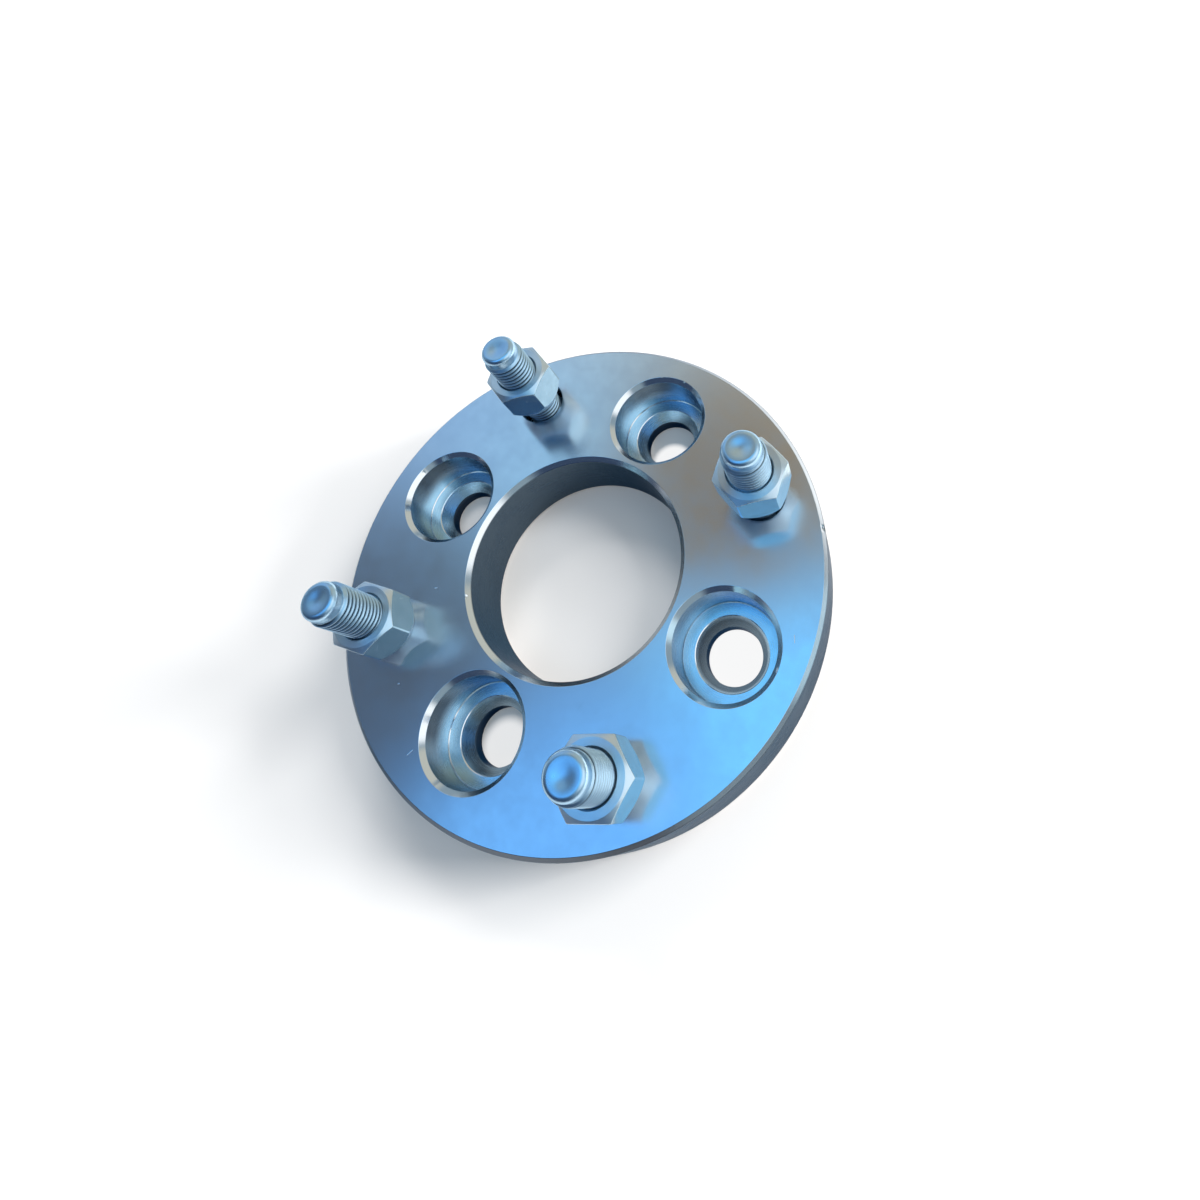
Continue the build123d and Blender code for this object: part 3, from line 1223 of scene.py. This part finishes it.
    def knurl_tree(self) -> KnurlTree:
        """Makes the tree that rolls the knurl of every stud."""
        sizes = {
            "Teeth": float(self.knurl_teeth),
            "Depth": self.knurl_depth * MM,
            "Inner radius": (self.thread_radius + 0.1) * MM,
            "Foot": (self.head_top + 0.15) * MM,
            "Top": (self.knurl_top + 0.1) * MM,
        }
        return KnurlTree("roll_knurl", sizes)

    def thread_tree(self) -> ThreadTree:
        """Makes the tree that rolls the thread of every stud."""
        sizes = {
            "Pitch": self.pitch * MM,
            "Depth": self.thread_depth * MM,
            "Crest radius": self.thread_radius * MM,
            "Foot": self.thread_foot * MM,
            "Run-out": 2 * self.pitch * MM,
            "Top": (self.groove_foot - 0.02) * MM,
        }
        return ThreadTree("roll_thread", sizes)

    def build(self, finish: bpy.types.Material, knurl: KnurlTree, thread: ThreadTree) -> None:
        """Rolls the blank, bakes the result to a plain mesh and dresses it.

        Args:
            finish: The plated finish.
            knurl: Rolls the knurl.
            thread: Rolls the thread.
        """
        blank = show(self.blank(), "stud_blank", (finish,))
        knurl.apply(blank, finish)
        thread.apply(blank, finish)
        evened = blank.modifiers.new("evened", "WEIGHTED_NORMAL")
        evened.keep_sharp = False
        graph = bpy.context.evaluated_depsgraph_get()
        rolled = blank.evaluated_get(graph)
        made = bpy.data.meshes.new_from_object(rolled, preserve_all_data_layers=True, depsgraph=graph)
        old = blank.data
        bpy.data.objects.remove(blank)
        bpy.data.meshes.remove(old)
        turn = Matrix.Rotation(radians(self.spin), 4, "Z")
        made.transform(Matrix.Translation(stand(self.number) * MM) @ turn)
        name = f"stud_{self.number}_threaded"
        made.name = name
        dress(show(made, name, (finish,)), f"wheel_stud_{self.number}")


@dataclass
class LugNut:
    """A cone-seat nut, open at both ends. Sizes in millimetres."""

    number: int
    nose: float
    corner_angle: float
    flat_radius: float = 9.0
    corner_rounding: float = 0.55
    hex_height: float = 11.5
    ring_radius: float = 8.4
    bore_radius: float = 6.0
    nose_radius: float = 6.8
    nose_chamfer: float = 0.35
    countersink: float = 0.55
    edge: float = 0.16
    shoulder_edge: float = 0.256
    ring_edge: float = 0.2
    nose_edge: float = 0.14
    nose_bore_edge: float = 0.05
    top_edge: float = 0.1
    top_bore_edge: float = 0.08
    corner_columns: int = 10
    flat_columns: int = 22
    corner_steps: int = 4
    first_hexagon_row: int = 19
    step: float = 1e-4

    def join(self) -> float:
        """Where a flat ends and a rounded corner begins, in radians from the middle of the flat."""
        return atan((self.flat_radius - self.corner_rounding) * tan(HALF_FLAT) / self.flat_radius)

    def angles(self) -> np.ndarray:
        """The angles of the columns: close together at the corners.

        Returns:
            Angles in radians, from the middle of a flat.
        """
        join = self.join()
        flat = np.linspace(-join, join, self.flat_columns + 1)
        corner = np.linspace(join, 2 * HALF_FLAT - join, self.corner_columns + 1)[1:-1]
        side = np.concatenate([flat, corner])
        return np.concatenate([side + 2 * HALF_FLAT * face for face in range(6)])

    def hex_radius(self, angle: float) -> float:
        """How far the hexagon reaches at an angle.

        Args:
            angle: The angle from the middle of a flat, in radians.

        Returns:
            The reach, with the corners rounded.
        """
        local = (angle + HALF_FLAT) % (2 * HALF_FLAT) - HALF_FLAT
        if abs(local) <= self.join():
            return self.flat_radius / cos(local)
        centre = (self.flat_radius - self.corner_rounding) / cos(HALF_FLAT)
        away = HALF_FLAT - abs(local)
        return centre * cos(away) + (self.corner_rounding**2 - (centre * sin(away)) ** 2) ** 0.5

    def outline(self, angle: float) -> Outline:
        """The nut's outline at an angle, which closes on itself.

        Args:
            angle: The angle from the middle of a flat, in radians.

        Returns:
            The outline.
        """
        reach = self.hex_radius(angle)
        top = self.nose + (self.flat_radius - self.nose_radius) / CONE_SLOPE + self.hex_height
        shoulder = top - (reach - self.ring_radius) * CONE_SLOPE
        corners = [
            (self.bore_radius, self.nose + self.nose_chamfer, self.nose_bore_edge),
            (self.bore_radius + self.nose_chamfer, self.nose, self.nose_bore_edge),
            (self.nose_radius, self.nose, self.nose_edge),
            (reach, self.nose + (reach - self.nose_radius) / CONE_SLOPE, self.edge),
            (reach, shoulder, self.shoulder_edge),
            (self.ring_radius, top, self.ring_edge),
            (self.bore_radius + self.countersink, top, self.top_edge),
            (self.bore_radius, top - self.countersink, self.top_bore_edge),
        ]
        return rounded(corners, steps=self.corner_steps, closed=True)

    def build(self, flats: bpy.types.Material, turned: bpy.types.Material) -> None:
        """Builds and dresses the nut.

        Args:
            flats: Finish of the hexagon.
            turned: Finish of the turned ends and the bore.
        """
        foot, up = np.array(stand(self.number)), np.array([0.0, 0.0, 1.0])
        turn = radians(self.corner_angle) - HALF_FLAT
        hexagon = range(self.first_hexagon_row, self.first_hexagon_row + self.corner_steps)
        columns = self.angles()
        shell = Shell()
        for column, angle in enumerate(columns):
            here, past = self.outline(angle), self.outline(angle + self.step)
            ways = (angle + turn, angle + turn + self.step)
            spoke, next_spoke = (np.array([cos(way), sin(way), 0.0]) for way in ways)
            place = here.points[:, :1] * spoke + here.points[:, 1:] * up
            next_place = past.points[:, :1] * next_spoke + past.points[:, 1:] * up
            across = -here.facing[:, 1:] * spoke + here.facing[:, :1] * up
            normal = np.cross(next_place - place, across)
            shell.points.append(place + foot)
            shell.normals.append(normal / np.linalg.norm(normal, axis=1)[:, None])
            shell.turned.append(np.column_stack([spoke[:2] * np.ones_like(here.points), here.run]))
            shell.across.append(across)
            rows = len(place)
            shell.keen.append(np.zeros(rows))
            shell.shade.append(np.ones(rows))
            low, high = column * rows, (column + 1) % len(columns) * rows
            for row in range(rows):
                above = (row + 1) % rows
                shell.faces.append((low + row, high + row, high + above, low + above))
                shell.materials.append(0 if row in hexagon else 1)
        name = f"nut_{self.number}_plated"
        dress(show(shell.mesh(name), name, (flats, turned)), f"lug_nut_{self.number}")


# Studio


def toward(azimuth: float, elevation: float) -> Vector:
    """The direction that lies at an azimuth and an elevation, in degrees."""
    az, el = radians(azimuth), radians(elevation)
    return Vector((cos(az) * cos(el), sin(az) * cos(el), sin(el)))


@dataclass(frozen=True)
class Panel:
    """A soft rectangular lamp that looks at a point. Its angles are in degrees and its sizes in metres."""

    name: str
    azimuth: float
    elevation: float
    level: float
    width: float = 0.7
    height: float = 0.7
    distance: float = 2.0
    colour: Colour = (0.86, 0.94, 1.0)
    target: tuple[float, float, float] = (0.0, 0.0, 0.02)

    def build(self, floor: bpy.types.Object) -> None:
        """Hangs the lamp.

        Args:
            floor: The only object that it lights.
        """
        lamp = bpy.data.lights.new(self.name, "AREA")
        lamp.shape = "RECTANGLE"
        lamp.size, lamp.size_y = self.width, self.height
        lamp.color = self.colour
        lamp.energy = self.level * pi * self.width * self.height
        away = toward(self.azimuth, self.elevation)
        placed = bpy.data.objects.new(self.name, lamp)
        placed.location = Vector(self.target) + away * self.distance
        placed.rotation_euler = away.to_track_quat("Z", "Y").to_euler()
        bpy.context.scene.collection.objects.link(placed)
        chosen = bpy.data.collections.new(f"{self.name}_lights")
        chosen.objects.link(floor)
        placed.light_linking.receiver_collection = chosen
        log.info("panel %s hung at azimuth %.0f, elevation %.0f", self.name, self.azimuth, self.elevation)


@dataclass(frozen=True)
class FloorSpot:
    """A pool of painted light on the floor, where it looks brighter.

    Its middle, its radius and its soft edge's half width are in millimetres. Its glow is a share of white.
    """

    middle: tuple[float, float]
    reach: float
    soft: float
    glow: float


@dataclass(frozen=True)
class SkyGlow:
    """A soft patch of the surroundings.

    The direction in which it lies, its radius and its soft edge's half width are in degrees.
    """

    azimuth: float
    elevation: float
    reach: float
    edge: float
    colour: Colour


@dataclass
class Studio:
    """Floor, surroundings, lamps and camera.

    The floor's size and where it fades to white are in metres. Its gap below the part, the camera's place,
    the sensor's width and the focal length are in millimetres.
    """

    floor_size: float = 8.0
    floor_gap: float = 0.02
    floor_colour: Colour = (0.84, 0.74, 0.67)
    floor_patches: float = 6.0
    floor_least: float = 0.97
    floor_roughness: float = 0.9
    floor_specular: float = 0.1
    floor_glow: float = 0.12
    fade: tuple[float, float] = (0.9, 2.6)
    # painted light: the floor glows more under the hub holes, where no lamp reaches
    painted_light_spots: tuple[FloorSpot, ...] = (
        FloorSpot((50.0, 0.0), 9.5, 2.0, 0.92),
        FloorSpot((2.0, 45.6), 6.6, 1.5, 0.88),
        FloorSpot((-49.2, -1.8), 7.0, 3.0, 0.36),
        FloorSpot((1.0, -52.0), 7.6, 2.2, 0.74),
    )
    dome: Colour = (0.25, 0.33, 0.39)
    glows: tuple[SkyGlow, ...] = (
        SkyGlow(-98.0, 21.0, 48.0, 7.0, (0.040, 0.063, 0.116)),
        SkyGlow(90.0, 24.5, 28.5, 5.4, (0.55, 0.55, 0.49)),
        SkyGlow(20.0, 49.5, 28.5, 4.0, (1.14, 1.16, 1.18)),
        SkyGlow(25.0, 89.0, 14.6, 14.6, (0.29, 0.76, 1.11)),
        SkyGlow(154.0, 42.0, 28.3, 4.0, (0.36, 0.54, 0.80)),
        SkyGlow(-155.0, 56.7, 19.0, 4.0, (0.080, 0.096, 0.128)),
        SkyGlow(128.0, 54.0, 12.0, 13.0, (0.65, 0.52, 0.35)),
        SkyGlow(-127.0, 68.8, 14.4, 4.0, (0.235, 0.66, 1.30)),
        SkyGlow(151.0, 80.9, 6.4, 6.4, (0.25, 0.98, 1.75)),
        SkyGlow(153.6, 60.5, 8.3, 8.2, (0.43, 0.79, 1.05)),
        SkyGlow(143.0, 65.8, 9.8, 4.0, (0.25, 0.17, 0.09)),
        SkyGlow(18.0, 5.0, 16.0, 6.0, (0.62, 0.88, 1.02)),
    )
    horizon: float = 0.012
    floor_panels: tuple[Panel, ...] = (
        Panel("floor_low", 36.0, 18.0, 76.0, width=0.56, height=0.5),
        Panel("floor_middle", 54.0, 40.0, 18.5),
        Panel("floor_side", 126.0, 40.0, 15.5),
    )
    camera_place: tuple[float, float, float] = (96.71, -13.59, 207.38)
    camera_right: tuple[float, float, float] = (0.84621, 0.47824, -0.23506)
    camera_up: tuple[float, float, float] = (-0.32597, 0.81355, 0.48148)
    sensor_width: float = 36.0
    focal_length: float = 21.04
    clip_start: float = 0.01
    shift: tuple[float, float] = (-0.0684, -0.1665)

    def build_floor(self) -> bpy.types.Object:
        """Lays the pale floor.

        Returns:
            The floor.
        """
        half, level = self.floor_size / 2, -self.floor_gap * MM
        corners = [(x * half, y * half, level) for x, y in ((-1, -1), (1, -1), (1, 1), (-1, 1))]
        made = bpy.data.meshes.new("floor")
        made.from_pydata(corners, [], [(0, 1, 2, 3)])
        material = bpy.data.materials.new("pale floor")
        material.use_nodes = True
        nodes = Nodes(material.node_tree)
        shader = nodes.tree.nodes["Principled BSDF"]
        place = nodes.place()
        tone = nodes.spread(nodes.noise(place, self.floor_patches), *NOISE_RANGE, self.floor_least, 1.0)
        nodes.feed(shader.inputs["Base Color"], nodes.scale(self.floor_colour, tone))
        shader.inputs["Roughness"].default_value = self.floor_roughness
        shader.inputs["Specular IOR Level"].default_value = self.floor_specular
        output = nodes.tree.nodes["Material Output"]
        glow = nodes.add("ShaderNodeEmission")
        nodes.feed(glow.inputs["Color"], WHITE)
        seen = nodes.math("MAXIMUM", *nodes.rays())
        out = nodes.vector("LENGTH", place)
        share = nodes.spread(out, *self.fade, self.floor_glow, 1.0, soft=True)
        # painted light: pools of glow under the hub holes
        for spot in self.painted_light_spots:
            away = nodes.vector("DISTANCE", place, (spot.middle[0] * MM, spot.middle[1] * MM, 0.0))
            outer, inner = (spot.reach + spot.soft) * MM, (spot.reach - spot.soft) * MM
            share = nodes.math("MAXIMUM", share, nodes.spread(away, inner, outer, spot.glow, 0.0, soft=True))
        mix = nodes.add("ShaderNodeMixShader")
        nodes.feed(mix.inputs[0], nodes.math("MULTIPLY", seen, share))
        nodes.feed(mix.inputs[1], shader.outputs[0])
        nodes.feed(mix.inputs[2], glow.outputs[0])
        nodes.feed(output.inputs["Surface"], mix.outputs[0])
        floor = show(made, "floor", (material,))
        return floor

    def build_surroundings(self) -> None:
        """Sets the world: a plain dome with a few soft glows.

        The camera sees it as white. Glossy and transmission rays see that white near the horizon only, and
        the glows above it.
        """
        world = bpy.data.worlds.new("studio")
        world.use_nodes = True
        bpy.context.scene.world = world
        nodes = Nodes(world.node_tree)
        background = nodes.tree.nodes["Background"]
        way = nodes.add("ShaderNodeTexCoord").outputs["Generated"]
        colour: Value = self.dome
        for glow in self.glows:
            near = nodes.vector("DOT_PRODUCT", way, tuple(toward(glow.azimuth, glow.elevation)))
            outer, inner = cos(radians(glow.reach + glow.edge)), cos(radians(glow.reach - glow.edge))
            share = nodes.spread(near, outer, inner, 0.0, 1.0, soft=True)
            colour = nodes.blend(share, colour, glow.colour)
        by_camera, mirrored = nodes.rays()
        rise = nodes.math("ABSOLUTE", nodes.split(way)[2])
        horizon = nodes.spread(rise, self.horizon, 4 * self.horizon, 1.0, 0.0, soft=True)
        seen = nodes.math("MAXIMUM", by_camera, nodes.math("MULTIPLY", mirrored, horizon))
        nodes.feed(background.inputs["Color"], nodes.blend(seen, colour, WHITE))
        background.inputs["Strength"].default_value = 1.0

    def build_camera(self) -> None:
        """Sets the camera where the photograph was taken."""
        lens = bpy.data.cameras.new("camera")
        lens.sensor_width = self.sensor_width
        lens.lens = self.focal_length
        lens.shift_x, lens.shift_y = self.shift
        lens.clip_start = self.clip_start
        placed = bpy.data.objects.new("camera", lens)
        right, up = Vector(self.camera_right).normalized(), Vector(self.camera_up).normalized()
        back = right.cross(up)
        turn = Matrix((right, up, back)).transposed().to_4x4()
        placed.matrix_world = Matrix.Translation(Vector(self.camera_place) * MM) @ turn
        bpy.context.scene.collection.objects.link(placed)
        bpy.context.scene.camera = placed

    def build(self) -> None:
        """Builds the studio."""
        bpy.context.scene.view_settings.view_transform = "Standard"
        floor = self.build_floor()
        self.build_surroundings()
        for panel in self.floor_panels:
            panel.build(floor)
        self.build_camera()


# This spacer's finishes, and how its studs and nuts stand

FACED = FacedFinish(
    "faced_aluminium",
    pale=(0.76, 0.84, 0.92),
    deep=(0.68, 0.77, 0.87),
    smooth=0.19,
    rough=0.25,
    anisotropy=0.55,
    scratches=(
        Scratch((-12.75, -63.5), (-12.15, -61.9), 0.16),
        Scratch((-34.9, -25.2), (-34.3, -24.7), 0.14),
        Scratch((-27.5, -51.4), (-27.1, -51.0), 0.14),
        Scratch((65.3, 10.4), (66.2, 8.7), 0.1),
    ),
)
TURNED = TurnedFinish(
    "turned_aluminium",
    pale=(0.69, 0.88, 0.98),
    deep=(0.60, 0.79, 0.92),
    smooth=0.22,
    rough=0.3,
    anisotropy=0.6,
)
PLATED = PlatedThreadFinish(
    "plated_steel",
    pale=(0.56, 0.79, 0.95),
    deep=(0.46, 0.67, 0.84),
    smooth=0.26,
    rough=0.34,
    patch_size=5.0,
)
BRIGHT = BrightNutFinish(
    "bright_plate",
    pale=(0.58, 0.76, 0.84),
    deep=(0.46, 0.64, 0.72),
    smooth=0.12,
    rough=0.22,
    patch_size=4.0,
)
TURNED_PLATE = TurnedFinish(
    "turned_plate",
    pale=(0.78, 0.90, 0.96),
    deep=(0.68, 0.80, 0.88),
    smooth=0.28,
    rough=0.36,
    anisotropy=0.85,
)
STUD_SPINS = (20.0, 140.0, 250.0, 65.0)
NUT_NOSES = (25.231, 25.681, 20.731, 23.326)
NUT_CORNER_ANGLES = (38.5, 37.8, 12.2, 29.3)


def main() -> None:
    """Builds the pieces and the studio."""
    logging.basicConfig(level=logging.INFO, format="%(name)s: %(message)s")
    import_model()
    SpacerDisc().build(FACED.material(), TURNED.material())
    pattern = WheelStud(0, 0.0)
    knurl, thread = pattern.knurl_tree(), pattern.thread_tree()
    steel, plate, ends = PLATED.material(), BRIGHT.material(), TURNED_PLATE.material()
    for number, spin in enumerate(STUD_SPINS, 1):
        WheelStud(number, spin).build(steel, knurl, thread)
    for number, (nose, angle) in enumerate(zip(NUT_NOSES, NUT_CORNER_ANGLES), 1):
        LugNut(number, nose, angle).build(plate, ends)
    Studio().build()
    log.info("boxes written")


if __name__ == "__main__":
    main()
